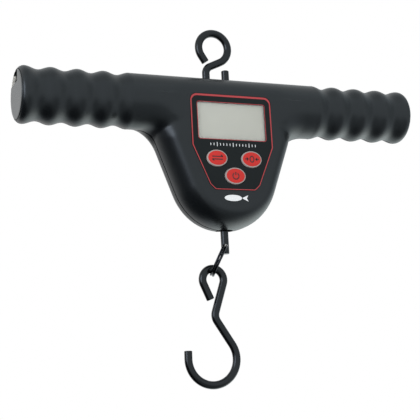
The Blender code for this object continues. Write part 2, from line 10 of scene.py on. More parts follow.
import bmesh
import bpy
import numpy as np
from mathutils import Matrix, Vector


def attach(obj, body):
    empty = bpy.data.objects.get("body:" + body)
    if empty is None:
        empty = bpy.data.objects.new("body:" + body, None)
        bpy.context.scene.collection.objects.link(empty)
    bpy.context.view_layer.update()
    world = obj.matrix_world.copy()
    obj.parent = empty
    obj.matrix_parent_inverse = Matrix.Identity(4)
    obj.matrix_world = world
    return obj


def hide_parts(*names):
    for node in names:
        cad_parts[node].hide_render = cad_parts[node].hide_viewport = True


MM = 0.001
LOAD_Y = 4.5
HANG_POINT = np.array([0.0, LOAD_Y, 41.6])

# Housing. The shield is the drop-shaped body, and the handle runs across it.
BAR_R, SPLIT_Y, FLAT_Y, BACK_Y = 15.0, 3.0, -14.05, 13.8
FRONT_INSET, FRONT_INSET_TOP, BACK_ROUND = 9.9, 23.9, 8.0
SHOULDER_Z, SHOULDER_W, TAPER = -21.0, 38.3, 0.371
CHEEK_Z, BOTTOM_Z, SHIELD_TOP_Z = -49.0, -68.7, 2.0
CHEEK_PULL, CHIN_PULL = 12.0, 14.0
FILLET_LOW, FILLET_HIGH, FILLET_BACK, FILLET_MIDDLE = 3.0, 9.0, 12.5, 1.2
FRONT_SWELL, FRONT_BLEND, BACK_BLEND = 1.6, 1.5, 1.0
INSET_SPAN_Z, FILLET_SPAN_Z, FILLET_SPAN_Y = (-22, -4), (-19, -9), (-3.6, 11)
FILLET_SPAN_X, SWELL_SPAN_X = (20, 34), (25, 41)
RIBS_START, RIBS_FULL = 53.0, 54.8
WAVE_MEAN, WAVE_DEPTH, WAVE_PITCH, WAVE_CREST_X = 14.25, 0.85, 14.1, 68.0
HANDLE_END, END_ROUND, LIP_R = 113.3, 3.0, 13.8
HANDLE_BORE, HOLLOW_HALF_W = 11.6, 49.0
# The boxes, from low to high corner, that the skin and the hollow are drawn in.
SKIN_NET = ((-113.4, -16.65, -70.65), (113.4, 16.65, 16.65))
HOLLOW_NET = ((-51.0, -13.6, -68.4), (51.0, 14.2, 14.2))
WALL, POCKET_D, OPENING_D, CUT_PAST = 2.0, 1.3, 6.0, 5.0
SEAM, SEAM_EASE = 0.18, 0.3  # half the gap between the shells, and the easing of its edges
SHELL_SCREWS = ((-25.5, -18.0), (25.5, -18.0), (-9.5, -55.0), (9.5, -55.0))
SCREW_HOLE_R, ROD_OPENING_R = 3.3, 4.7
SLOT_W, SLOT_D, SLOT_ROUND = 9.8, 3.7, 2.5

# End caps.
CAP_START, CAP_FACE, CAP_R, CAP_GAP = 111.6, 113.6, 13.0, 0.3
PLUG_END, PLUG_R, PLUG_BORE = 106.5, 10.8, 9.4
NOTCH_Y, NOTCH_Z, NOTCH_FLOOR = -2.8, 6.3, 0.4
STRIP_START, STRIP_SWEEP, STRIP_T = 31, 32, 0.3  # the angles in degrees, up from the back

# Face.
PANEL_W, PANEL_BOTTOM_W = 23.5, 11.5
PANEL_TOP_Z, PANEL_WAIST_Z, PANEL_BOTTOM_Z = 2.6, -25.6, -49.6
PANEL_CUT_W, PANEL_CUT_Z = 14.45, -46.75
PANEL_RADII = [3.8, 2.0, 1.6, 1.6, 1.6, 1.6, 2.0, 3.8]
WINDOW_W, WINDOW_TOP_Z, WINDOW_BOTTOM_Z = 19.55, -1.9, -22.05
PANEL_Y = -14.0
PRINT_T, STROKE_W = 0.03, 0.58
TICKS_Z, TICK_STEP, TICK_W, TICK_H = -25.0, 1.85, 0.17, 1.1
FISH_Z = -54.0
KEY_W, KEY_H, KEY_PROUD, KEY_DEPTH = 5.9, 4.5, 1.16, 2.5
KEYS = {"unit": (-9.96, -32.7), "tare": (9.96, -32.7), "power": (0.0, -42.1)}

# Wire pieces.
HOOK_R, BOWL_R, SKIN_GAP = 2.15, 13.8, 0.01
ROD_R, ROD_TOP_Z, ROD_END_Z = 2.15, -29.6, -81.0
ROD_HOLE = Vector((0, LOAD_Y, -76.6))
RING_R, RING_WIRE_R, RING_STEP = 8.67, 0.65, 1.36
RING_TURN, RING_LEAN = math.radians(-19.4), math.radians(27)
RING_FIRST, RING_LAST, RING_POINTS = math.radians(28), math.radians(692), 150
CROSSING_START, CROSSING_SWEEP = 334, 52  # degrees along the wire
EYE_R, EYE_DROP, EYE_ASIDE = 6.05, 14.1, -1.2

# Camera and stage. The camera's spot is in millimetres, and the floor and the tent are in metres.
CAMERA_SPOT, LENS = (-243.73, -555.56, -174.66), 98.1
CAMERA_RIGHT, CAMERA_UP = Vector((0.9241, -0.3784, -0.0527)), Vector((-0.0243, -0.1958, 0.9803))
FLOOR_SIZE, FLOOR_Z, TENT_R = 3.0, -0.34, 2.5

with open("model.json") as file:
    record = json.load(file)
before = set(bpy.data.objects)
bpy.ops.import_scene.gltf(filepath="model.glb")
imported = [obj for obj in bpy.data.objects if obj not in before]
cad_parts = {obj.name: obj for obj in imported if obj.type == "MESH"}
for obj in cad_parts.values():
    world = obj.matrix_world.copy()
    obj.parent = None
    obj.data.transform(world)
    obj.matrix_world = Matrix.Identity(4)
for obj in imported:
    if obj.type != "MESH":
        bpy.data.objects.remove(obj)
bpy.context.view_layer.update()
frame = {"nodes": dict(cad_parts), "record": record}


# Materials -------------------------------------------------------------------------------------


def surface(slot, colour, roughness, metallic=0.0, grain=0.0, grain_size=0.6, mottle=0.15, specular=0.5):
    """A moulded or coated surface: fine grain in its bump, and slow changes in its colour and gloss."""
    made = bpy.data.materials.new(slot)
    made.use_nodes = True
    nodes, links = made.node_tree.nodes, made.node_tree.links
    shader = nodes["Principled BSDF"]
    shader.inputs["Metallic"].default_value = metallic
    shader.inputs["Specular IOR Level"].default_value = specular
    where = nodes.new("ShaderNodeTexCoord")

    slow = nodes.new("ShaderNodeTexNoise")
    slow.inputs["Scale"].default_value = 45
    slow.inputs["Detail"].default_value = 4
    links.new(where.outputs["Object"], slow.inputs["Vector"])

    tint = nodes.new("ShaderNodeMix")
    tint.data_type = "RGBA"
    tint.inputs["A"].default_value = (*[c * (1 - mottle) for c in colour], 1)
    tint.inputs["B"].default_value = (*[min(1, c * (1 + mottle)) for c in colour], 1)
    links.new(slow.outputs["Fac"], tint.inputs["Factor"])
    links.new(tint.outputs["Result"], shader.inputs["Base Color"])

    gloss = nodes.new("ShaderNodeMapRange")
    gloss.inputs["From Min"].default_value = 0.3
    gloss.inputs["From Max"].default_value = 0.7
    gloss.inputs["To Min"].default_value = roughness * 0.93
    gloss.inputs["To Max"].default_value = min(1, roughness * 1.07)
    links.new(slow.outputs["Fac"], gloss.inputs["Value"])
    links.new(gloss.outputs["Result"], shader.inputs["Roughness"])

    if grain:
        fine = nodes.new("ShaderNodeTexNoise")
        fine.inputs["Scale"].default_value = 1 / (grain_size * MM)
        fine.inputs["Detail"].default_value = 2
        links.new(where.outputs["Object"], fine.inputs["Vector"])
        bump = nodes.new("ShaderNodeBump")
        bump.inputs["Strength"].default_value = 1.0
        bump.inputs["Distance"].default_value = grain * MM
        links.new(fine.outputs["Fac"], bump.inputs["Height"])
        links.new(bump.outputs["Normal"], shader.inputs["Normal"])
    return made


def brushed(slot, colour, roughness, along=2):
    """Bare metal with fine lines along one axis."""
    made = surface(slot, colour, roughness, metallic=1.0, mottle=0.06)
    nodes, links = made.node_tree.nodes, made.node_tree.links
    where = nodes.new("ShaderNodeTexCoord")
    stretch = nodes.new("ShaderNodeMapping")
    stretch.inputs["Scale"].default_value = [60 if k == along else 2600 for k in range(3)]
    links.new(where.outputs["Object"], stretch.inputs["Vector"])
    lines = nodes.new("ShaderNodeTexNoise")
    lines.inputs["Scale"].default_value = 1
    lines.inputs["Detail"].default_value = 3
    links.new(stretch.outputs["Vector"], lines.inputs["Vector"])
    bump = nodes.new("ShaderNodeBump")
    bump.inputs["Strength"].default_value = 0.6
    bump.inputs["Distance"].default_value = 0.006 * MM
    links.new(lines.outputs["Fac"], bump.inputs["Height"])
    links.new(bump.outputs["Normal"], nodes["Principled BSDF"].inputs["Normal"])
    return made


def clear_cover(slot):
    """A clear window: see-through, with gloss on top."""
    made = surface(slot, (0.85, 0.87, 0.85), 0.08, mottle=0.02)
    made.node_tree.nodes["Principled BSDF"].inputs["Alpha"].default_value = 0.1
    return made


MATERIALS = {
    "black_plastic": surface("black_plastic", (0.0034, 0.0042, 0.0047), 0.34, grain=0.012, grain_size=0.45),
    "cap_black": surface("cap_black", (0.004, 0.0045, 0.005), 0.27, grain=0.01, grain_size=0.6, mottle=0.3),
    "black_rubber": surface("black_rubber", (0.014, 0.014, 0.015), 0.6, grain=0.02, grain_size=0.4),
    "panel_black": surface(
        "panel_black", (0.0045, 0.0062, 0.006), 0.3, grain=0.006, grain_size=0.25, specular=0.22
    ),
    "key_red": surface(
        "key_red", (0.55, 0.022, 0.016), 0.36, grain=0.01, grain_size=0.5, mottle=0.1, specular=0.25
    ),
    "clear_plastic": clear_cover("clear_plastic"),
    "display_grey": surface("display_grey", (0.445, 0.44, 0.37), 0.35, mottle=0.02),
    "board_green": surface("board_green", (0.015, 0.12, 0.045), 0.4, grain=0.01, grain_size=0.8),
    "black_enamel": surface(
        "black_enamel", (0.0025, 0.0025, 0.0025), 0.2, grain=0.015, grain_size=0.9, specular=0.42
    ),
    "spring_steel": brushed("spring_steel", (0.03, 0.03, 0.033), 0.3),
    "machined_aluminium": brushed("machined_aluminium", (0.72, 0.73, 0.74), 0.3),
    "zinc_steel": brushed("zinc_steel", (0.45, 0.46, 0.48), 0.3, along=0),
    "brass": brushed("brass", (0.75, 0.55, 0.22), 0.28),
    # Painted highlight: a pale colour for the light that the far rim in an end cap's notch catches.
    "painted_rim_glint": surface("painted_rim_glint", (0.85, 0.82, 0.75), 0.4, mottle=0.1),
    "cell_wrap": surface("cell_wrap", (0.04, 0.08, 0.2), 0.3, mottle=0.2),
    "gauge_foil": surface("gauge_foil", (0.6, 0.36, 0.1), 0.35, grain=0.01, grain_size=0.3),
    "red_lead": surface("red_lead", (0.5, 0.03, 0.02), 0.5, mottle=0.1),
    "black_lead": surface("black_lead", (0.02, 0.02, 0.02), 0.5, mottle=0.1),
    "white_lead": surface("white_lead", (0.7, 0.7, 0.66), 0.5, mottle=0.08),
    "key_skirt": surface("key_skirt", (0.36, 0.3, 0.28), 0.35, grain=0.008, grain_size=0.4),
    "print_dark": surface("print_dark", (0.05, 0.006, 0.006), 0.4, mottle=0.2),
    "print_white": surface("print_white", (0.78, 0.79, 0.79), 0.4, mottle=0.08),
    "print_red": surface("print_red", (0.42, 0.03, 0.034), 0.35, mottle=0.25),
}

for part in frame["record"]["subparts"]:
    skin = frame["nodes"][part["node"]].data.materials
    skin.clear()
    skin.append(MATERIALS[part["material_slot"]])


# Mesh helpers ----------------------------------------------------------------------------------


def to_row(points):
    """Millimetres about the handle's axis to metres in the row frame."""
    return (np.asarray(points, float).reshape(-1, 3) - HANG_POINT) * MM


def mesh_object(name, points, faces, sharp_angle=30):
    mesh = bpy.data.meshes.new(name)
    mesh.from_pydata(to_row(points).tolist(), [], [list(map(int, f)) for f in faces])
    bm = bmesh.new()
    bm.from_mesh(mesh)
    bmesh.ops.recalc_face_normals(bm, faces=bm.faces)
    bm.to_mesh(mesh)
    bm.free()
    mesh.shade_smooth()
    mesh.set_sharp_from_angle(angle=math.radians(sharp_angle))
    made = bpy.data.objects.new(name, mesh)
    bpy.context.scene.collection.objects.link(made)
    return made


def piece(made, material, body, stands_for=()):
    """Gives a piece its material, its body and the CAD nodes that it stands for."""
    made.data.materials.clear()
    made.data.materials.append(MATERIALS[material])
    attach(made, body)
    if stands_for:
        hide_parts(*stands_for)
    return made


def bake(made, sharp_angle=30):
    """Replaces an object's mesh with what its modifiers make of it."""
    bpy.context.view_layer.update()
    solid = bpy.data.meshes.new_from_object(made.evaluated_get(bpy.context.evaluated_depsgraph_get()))
    made.modifiers.clear()
    old, made.data = made.data, solid
    solid.name = made.name
    bpy.data.meshes.remove(old)
    solid.shade_smooth()
    solid.set_sharp_from_angle(angle=math.radians(sharp_angle))


def cut(made, tools, sharp_angle=30):
    """Cuts each tool out of an object, then removes the tools."""
    for tool in tools:
        step = made.modifiers.new(tool.name, "BOOLEAN")
        step.operation = "DIFFERENCE"
        step.solver = "EXACT"
        step.object = tool
    bake(made, sharp_angle)
    for tool in tools:
        bpy.data.meshes.remove(tool.data)


def prism(outline, y_low, y_high, bevel=0.0):
    """Points and faces of an (x, z) outline extruded along Y, with its front edge eased by bevel."""
    outline = np.asarray(outline, float)
    count = len(outline)
    rings = [(y_high, outline)]
    if bevel:
        rings += [(y_low + bevel, outline), (y_low + bevel * 0.3, inset(outline, bevel * 0.3))]
        rings += [(y_low, inset(outline, bevel))]
    else:
        rings += [(y_low, outline)]
    points = [(x, y, z) for y, ring in rings for x, z in ring]
    faces = [list(range(count)), list(range((len(rings) - 1) * count, len(rings) * count))]
    for level in range(len(rings) - 1):
        base = level * count
        for k in range(count):
            n = (k + 1) % count
            faces.append([base + k, base + n, base + count + n, base + count + k])
    return points, faces


def inset(outline, distance):
    """Moves a closed outline in by a distance, along the mean normal at each point."""
    before, after = np.roll(outline, 1, 0), np.roll(outline, -1, 0)
    into, out = outline - before, after - outline
    into /= np.linalg.norm(into, axis=1, keepdims=True)
    out /= np.linalg.norm(out, axis=1, keepdims=True)
    normal = np.stack([-(into + out)[:, 1], (into + out)[:, 0]], 1)
    normal /= np.linalg.norm(normal, axis=1, keepdims=True)
    turn = np.clip(np.sqrt((1 + (into * out).sum(1)) / 2), 0.5, 1)
    x, z = outline.T
    winding = np.sign((x * np.roll(z, -1) - np.roll(x, -1) * z).sum())
    return outline + winding * distance * normal / turn[:, None]


def oval(x, z, half_w, half_h, steps=64):
    turns = np.linspace(0, math.tau, steps, endpoint=False)
    return np.stack([x + half_w * np.cos(turns), z + half_h * np.sin(turns)], 1)


def rounded(corners, radii, steps=6):
    """An (x, z) outline with each corner replaced by an arc of its own radius."""
    points = []
    triples = zip(corners[-1:] + corners[:-1], corners, corners[1:] + corners[:1], radii)
    for before, here, after, radius in triples:
        here = Vector(here)
        to_before, to_after = (Vector(before) - here).normalized(), (Vector(after) - here).normalized()
        half = to_before.angle(to_after) / 2
        middle = here + (to_before + to_after).normalized() * radius / math.sin(half)
        start = here + to_before * radius / math.tan(half) - middle
        sweep = start.angle_signed(here + to_after * radius / math.tan(half) - middle)
        for k in range(steps + 1):
            points.append(tuple(middle + Matrix.Rotation(-sweep * k / steps, 2) @ start))
    return np.array(points)


def lathe(profile, steps=96):
    """Points and faces of an (x, radius) outline turned about the handle's axis, where its ends lie."""
    points, faces = [(profile[0][0], 0, 0), (profile[-1][0], 0, 0)], []
    rings = profile[1:-1]
    for x, radius in rings:
        for k in range(steps):
            turn = math.tau * k / steps
            points.append((x, radius * math.cos(turn), radius * math.sin(turn)))
    for k in range(steps):
        n = (k + 1) % steps
        faces.append([0, 2 + k, 2 + n])
        last = 2 + (len(rings) - 1) * steps
        faces.append([1, last + n, last + k])
        for level in range(len(rings) - 1):
            base = 2 + level * steps
            faces.append([base + k, base + steps + k, base + steps + n, base + n])
    return points, faces


def tube(path, radius, sides=24, chamfer=0.25):
    """Points and faces of a round wire along a path, with eased flat ends."""
    path = np.asarray(path, float)
    ahead = np.diff(path, axis=0)
    ahead /= np.linalg.norm(ahead, axis=1, keepdims=True)
    tangent = np.vstack([ahead[:1], ahead[:-1] + ahead[1:], ahead[-1:]])
    tangent /= np.linalg.norm(tangent, axis=1, keepdims=True)
    side = np.cross(tangent[0], (0, 1, 0) if abs(tangent[0][1]) < 0.9 else (1, 0, 0))
    rings = []
    for centre, along in zip(path, tangent):
        side = side - along * (side @ along)
        side /= np.linalg.norm(side)
        rings.append((centre, side, np.cross(along, side), radius))
    first, last = rings[0], rings[-1]
    rings[0] = (first[0] + tangent[0] * chamfer, *first[1:])
    rings[-1] = (last[0] - tangent[-1] * chamfer, *last[1:])
    rings = [(*first[:3], radius - chamfer), *rings, (*last[:3], radius - chamfer)]
    points, faces = [], []
    for centre, across, other, size in rings:
        for k in range(sides):
            turn = math.tau * k / sides
            points.append(centre + size * (math.cos(turn) * across + math.sin(turn) * other))
    for level in range(len(rings) - 1):
        base = level * sides
        for k in range(sides):
            n = (k + 1) % sides
            faces.append([base + k, base + n, base + sides + n, base + sides + k])
    faces += [list(range(sides)), list(range((len(rings) - 1) * sides, len(rings) * sides))]
    return points, faces


# Housing ---------------------------------------------------------------------------------------


def shield_outline():
    """The shield's seam outline, right half, from the top to the bottom."""
    lean = np.array([-TAPER, -1.0]) / math.hypot(TAPER, 1)
    cheek = np.array([SHOULDER_W - TAPER * (SHOULDER_Z - CHEEK_Z), CHEEK_Z])
    t = np.linspace(0, 1, 28)[:, None]
    chin = (1 - t) ** 3 * cheek + 3 * t * (1 - t) ** 2 * (cheek + CHEEK_PULL * lean)
    chin = chin + 3 * t * t * (1 - t) * np.array([CHIN_PULL, BOTTOM_Z]) + t**3 * np.array([0, BOTTOM_Z])
    top = [cheek[0] + TAPER * (SHIELD_TOP_Z - CHEEK_Z), SHIELD_TOP_Z]
    return np.vstack([[top], chin])


OUTLINE = shield_outline()


def outline_distance(x, z):
    """Distance from the shield's outline, negative inside it."""
    x = np.abs(x)
    closed = np.vstack([OUTLINE, [[0, SHIELD_TOP_Z]]])
    nearest = np.full(x.shape, 1e9)
    inside = np.zeros(x.shape, bool)
    for k, (start, end) in enumerate(zip(closed, np.roll(closed, -1, 0))):
        edge = end - start
        crosses = (start[1] > z) != (end[1] > z)
        if abs(edge[1]) > 1e-9:
            inside ^= crosses & (x < start[0] + (z - start[1]) * edge[0] / edge[1])
        if k < len(OUTLINE):
            share = np.clip(((x - start[0]) * edge[0] + (z - start[1]) * edge[1]) / (edge @ edge), 0, 1)
            gap = (x - start[0] - share * edge[0]) ** 2 + (z - start[1] - share * edge[1]) ** 2
            if start[0] > 1e-6 or end[0] > 1e-6:
                nearest = np.minimum(nearest, gap)
    return np.where(inside, -1, 1) * np.sqrt(nearest)


def ramp(value, start, end):
    """Rises smoothly from 0 at the start to 1 at the end."""
    value = np.clip((value - start) / (end - start), 0, 1)
    return value * value * (3 - 2 * value)


def handle_radius(x):
    """The handle's radius: plain in the middle and ribbed towards its ends."""
    x = np.abs(x)
    wave = WAVE_MEAN + WAVE_DEPTH * np.cos(math.tau * (x - WAVE_CREST_X) / WAVE_PITCH)
    ribbed = ramp(x, RIBS_START, RIBS_FULL)
    radius = BAR_R * (1 - ribbed) + wave * ribbed
    over = np.clip((x - HANDLE_END + END_ROUND) / END_ROUND, 0, 1)
    return radius - (WAVE_MEAN + WAVE_DEPTH - LIP_R) * (1 - np.sqrt(1 - over * over))


def housing_field(points):
    """Distance from the housing's skin, negative inside: shield and handle, run together with a fillet."""
    x, y, z = points.T
    edge = outline_distance(x, z)
    depth = SPLIT_Y - FLAT_Y
    fade = FRONT_INSET + (FRONT_INSET_TOP - FRONT_INSET) * ramp(z, *INSET_SPAN_Z)
    u, v = np.maximum(edge + fade, 0) / fade, np.maximum(SPLIT_Y - y, 0) / depth
    reach = np.maximum(np.hypot(u, v), 1e-9)
    slope = np.maximum(np.hypot(u / reach / fade, v / reach / depth), 1e-3)
    front = np.where(u <= 0, FLAT_Y - y, (reach - 1) / slope)
    u, v = np.maximum(edge + BACK_ROUND, 0), np.maximum(y - BACK_Y + BACK_ROUND, 0)
    back = np.hypot(u, v) - BACK_ROUND
    shield = np.where(y < SPLIT_Y, front, back)
    handle = np.hypot(y, z) - handle_radius(x)
    soft = FILLET_LOW + (FILLET_HIGH - FILLET_LOW) * ramp(z, *FILLET_SPAN_Z)
    soft = soft + (FILLET_BACK - soft) * ramp(y, *FILLET_SPAN_Y)
    soft = FILLET_MIDDLE + (soft - FILLET_MIDDLE) * ramp(np.abs(x), *FILLET_SPAN_X)
    joined = -blended(-handle, -shield, soft)
    front_flat = FLAT_Y - FRONT_SWELL * ramp(np.abs(x), *SWELL_SPAN_X) - y
    return blended(blended(joined, front_flat, FRONT_BLEND), y - BAR_R, BACK_BLEND)


def blended(first, second, width):
    """The larger of two values, run together smoothly where they are within a width of each other."""
    share = np.clip(0.5 + 0.5 * (first - second) / width, 0, 1)
    return second * (1 - share) + first * share + width * share * (1 - share)


def surface_net(field, low, high, step):
    """A quad mesh of the field's zero surface, one vertex to a cell, drawn onto the surface afterwards."""
    axes = [np.arange(a, b + step, step) for a, b in zip(low, high)]
    grid = np.stack(np.meshgrid(*axes, indexing="ij"), -1)
    shape = grid.shape[:3]
    value = field(grid.reshape(-1, 3)).reshape(shape)
    inside = value < 0
    corners = [(i, j, k) for i in (0, 1) for j in (0, 1) for k in (0, 1)]

    def corner(array, c):
        return array[tuple(slice(o, n - 1 + o) for o, n in zip(c, shape))]

    count = sum(corner(inside, c).astype(int) for c in corners)
    cells = np.argwhere((count > 0) & (count < 8))
    number = np.full([n - 1 for n in shape], -1)
    number[tuple(cells.T)] = np.arange(len(cells))
    total, hits = np.zeros((len(cells), 3)), np.zeros(len(cells))
    for a in corners:
        for axis in range(3):
            if a[axis]:
                continue
            b = tuple(o + (k == axis) for k, o in enumerate(a))
            first, second = (value[tuple((cells + c).T)] for c in (a, b))
            crossed = (first < 0) != (second < 0)
            share = np.where(crossed, first / np.where(crossed, first - second, 1), 0)
            spot = np.asarray(low) + step * (cells + a)
            spot[:, axis] += share * step
            total += spot * crossed[:, None]
            hits += crossed
    points = total / hits[:, None]
    for _ in range(4):
        here = field(points)
        nudge = 0.02
        sides = [(points + nudge * axis, points - nudge * axis) for axis in np.eye(3)]
        slope = np.stack([field(ahead) - field(behind) for ahead, behind in sides], 1)
        slope /= 2 * nudge
        steepness = np.maximum((slope**2).sum(1), 0.05)
        points -= np.clip(here / steepness, -0.5, 0.5)[:, None] * slope
    faces = []
    for axis in range(3):
        across, up = [k for k in range(3) if k != axis]
        near = [slice(None)] * 3
        far = [slice(None)] * 3
        near[axis], far[axis] = slice(0, -1), slice(1, None)
        edges = np.argwhere(inside[tuple(near)] != inside[tuple(far)])
        fits = np.all([(edges[:, k] > 0) & (edges[:, k] < shape[k] - 1) for k in (across, up)], 0)
        edges = edges[fits]
        around = []
        for da, du in ((0, 0), (1, 0), (1, 1), (0, 1)):
            cell = edges.copy()
            cell[:, across] -= da
            cell[:, up] -= du
            around.append(number[tuple(cell.T)])
        faces.append(np.stack(around, 1))
    faces = np.vstack(faces)
    return points, faces[(faces >= 0).all(1)]


def hollow_field(points):
    """Distance from the inside of the housing's wall, as far along the handle as the shield needs."""
    return np.maximum(housing_field(points) + WALL, np.abs(points[:, 0]) - HOLLOW_HALF_W)


def half_shell(name, points, faces, toward_back):
    """The part of the housing on one side of the split, solid, with an eased edge along the split."""
    made = mesh_object(name, points, faces)
    bm = bmesh.new()
    bm.from_mesh(made.data)
    sign = 1 if toward_back else -1
    split = to_row((0, SPLIT_Y + sign * (SEAM + SEAM_EASE), 0))[0]
    planes = [(to_row((side * HANDLE_END, 0, 0))[0], (side, 0, 0)) for side in (-1, 1)]
    for spot, away in [*planes, (split, (0, -sign, 0))]:
        every = bm.verts[:] + bm.edges[:] + bm.faces[:]
        cut_open = bmesh.ops.bisect_plane(
            bm, geom=every, plane_co=spot, plane_no=away, clear_outer=True, dist=1e-7
        )
        edge_verts = [item for item in cut_open["geom_cut"] if isinstance(item, bmesh.types.BMVert)]
        bmesh.ops.remove_doubles(bm, verts=edge_verts, dist=0.3 * MM)
        if away[0]:
            bmesh.ops.edgeloop_fill(bm, edges=[edge for edge in bm.edges if edge.is_boundary])
    rim = [edge for edge in bm.edges if edge.is_boundary]
    bm.normal_update()
    pulled = bmesh.ops.extrude_edge_only(bm, edges=rim)["geom"]
    for vert in [item for item in pulled if isinstance(item, bmesh.types.BMVert)]:
        others = [edge.other_vert(vert) for edge in vert.link_edges]
        below = min(others, key=lambda other: (other.co - vert.co).length)
        inward = Vector((below.normal.x, 0, below.normal.z)).normalized()
        vert.co -= (inward * 0.6 + Vector((0, sign, 0))) * SEAM_EASE * MM
    bmesh.ops.edgeloop_fill(bm, edges=[item for item in pulled if isinstance(item, bmesh.types.BMEdge)])
    bmesh.ops.recalc_face_normals(bm, faces=bm.faces)
    bm.to_mesh(made.data)
    bm.free()
    return made


def panel_corners(grow=0.0):
    half = [
        (PANEL_W + grow, PANEL_TOP_Z + grow),
        (PANEL_W + grow, PANEL_WAIST_Z),
        (PANEL_CUT_W + grow, PANEL_CUT_Z),
        (PANEL_BOTTOM_W + grow / 2, PANEL_BOTTOM_Z - grow),
    ]
    return half + [(-x, z) for x, z in reversed(half)]


def panel_outline(grow=0.0):
    return rounded(panel_corners(grow), PANEL_RADII)


def window_outline(grow=0.0, radius=1.0):
    left, right = -WINDOW_W - grow, WINDOW_W + grow
    low, high = WINDOW_BOTTOM_Z - grow, WINDOW_TOP_Z + grow
    return rounded([(right, high), (right, low), (left, low), (left, high)], [radius] * 4)


def round_tool(name, centre, radius, low, high, axis="Z", steps=48):
    """A round cutter along Y or Z."""
    ring = oval(0, 0, radius, radius, steps)
    points, faces = prism(ring, low, high)
    points = np.array(points)
    if axis == "Z":
        points = points[:, [0, 2, 1]]
    return mesh_object(name, points + np.array(centre), faces)


def opening_tools(name):
    """Cutters for the handle's bore, the hollow, the top hook's slot and the pull rod's hole."""
    seat_x, seat_r, past = CAP_START - CAP_GAP, CAP_R + CAP_GAP, HANDLE_END + 3
    half = [(0, HANDLE_BORE), (seat_x, HANDLE_BORE), (seat_x, seat_r), (past, seat_r), (past, 0)]
    profile = [(-x, radius) for x, radius in reversed(half)] + half[1:]
    bore = mesh_object(f"{name}_bore", *lathe(profile))

    step = 1.2
    hollow = surface_net(hollow_field, *HOLLOW_NET, step)
    hollow = mesh_object(f"{name}_hollow", *hollow)

    corners = [(SLOT_W, SLOT_D), (SLOT_W, -SLOT_D), (-SLOT_W, -SLOT_D), (-SLOT_W, SLOT_D)]
    points, faces = prism(rounded(corners, [SLOT_ROUND] * 4), 5, 20)
    points = np.array(points)[:, [0, 2, 1]]
    slot = mesh_object(f"{name}_slot", points + np.array([0, LOAD_Y, 0]), faces)
    rod_hole = round_tool(f"{name}_rod_hole", (0, LOAD_Y, 0), ROD_OPENING_R, -75, -60)
    return [bore, hollow, slot, rod_hole]


def build_housing():
    """The two shells. One net gives the skin of both, so that they meet along the split."""
    step = 0.9
    points, faces = surface_net(housing_field, *SKIN_NET, step)
    front = half_shell("front_shell_skin", points, faces, False)
    tools = opening_tools("front")
    outside, inside = FLAT_Y - CUT_PAST, FLAT_Y + OPENING_D
    tools.append(mesh_object("panel_pocket", *prism(panel_outline(0.15), outside, FLAT_Y + POCKET_D)))
    tools.append(mesh_object("display_opening", *prism(window_outline(1.3), outside, inside)))
    for key, (x, z) in KEYS.items():
        around = oval(x, z, KEY_W + 0.3, KEY_H + 0.3)
        tools.append(mesh_object(f"{key}_hole", *prism(around, outside, inside)))
    cut(front, tools)
    piece(front, "black_plastic", "housing", stands_for=("front_shell",))

    back = half_shell("rear_shell_skin", points, faces, True)
    tools = opening_tools("rear")
    for x, z in SHELL_SCREWS:
        tools.append(round_tool(f"screw_hole_{x}_{z}", (x, 0, z), SCREW_HOLE_R, 9, 20, axis="Y", steps=32))
    cut(back, tools)
    piece(back, "black_plastic", "housing", stands_for=("rear_shell",))


def end_cap(name, side):
    """A cap that sits flush in the handle's end, with a nail notch in its upper back rim."""
    profile = [(CAP_FACE, 0), (CAP_FACE, 6), (CAP_FACE, 11), (CAP_FACE, CAP_R - 0.4)]
    profile += [(CAP_FACE - 0.06, CAP_R - 0.15), (CAP_FACE - 0.2, CAP_R - 0.03), (CAP_FACE - 0.4, CAP_R)]
    profile += [(CAP_START, CAP_R), (CAP_START, PLUG_R), (PLUG_END, PLUG_R), (PLUG_END, PLUG_BORE)]
    profile += [(CAP_START - 0.1, PLUG_BORE), (CAP_START - 0.1, 0)]
    cap = mesh_object(f"{name}_skin", *lathe([(side * x, radius) for x, radius in profile]))
    past = CAP_R + 3
    corners = [(past, NOTCH_Z), (NOTCH_Y, NOTCH_Z), (NOTCH_Y, past), (past, past)]
    outline = rounded(corners, [0.4] * 4)
    points, faces = prism(outline, side * (CAP_START + NOTCH_FLOOR), side * (CAP_FACE + 1))
    cut(cap, [mesh_object(f"{name}_notch", np.array(points)[:, [1, 0, 2]], faces)])
    piece(cap, "cap_black", name, stands_for=(name,))


def notch_strip(name, side, steps=10):
    """The pale strip that stands along the rim in an end cap's notch. Its pale colour is a painted
    highlight, for the light that the notch's far rim catches.
    """
    outer, points, faces = CAP_R - 0.25, [], []
    for k in range(steps + 1):
        angle = math.radians(STRIP_START + STRIP_SWEEP * k / steps)
        for x in (CAP_START + NOTCH_FLOOR + 0.05, CAP_FACE - 0.25):
            for radius in (outer - STRIP_T, outer):
                points.append((side * x, radius * math.cos(angle), radius * math.sin(angle)))
        if k:
            base = 4 * (k - 1)
            for a, b in ((0, 1), (1, 3), (3, 2), (2, 0)):
                faces.append([base + a, base + b, base + 4 + b, base + 4 + a])
    faces += [[0, 1, 3, 2], [4 * steps, 4 * steps + 1, 4 * steps + 3, 4 * steps + 2]]
    # The strip's pale colour is a painted highlight on the notch's far rim.
    piece(mesh_object(f"{name}_strip", points, faces), "painted_rim_glint", name)


# Face ------------------------------------------------------------------------------------------


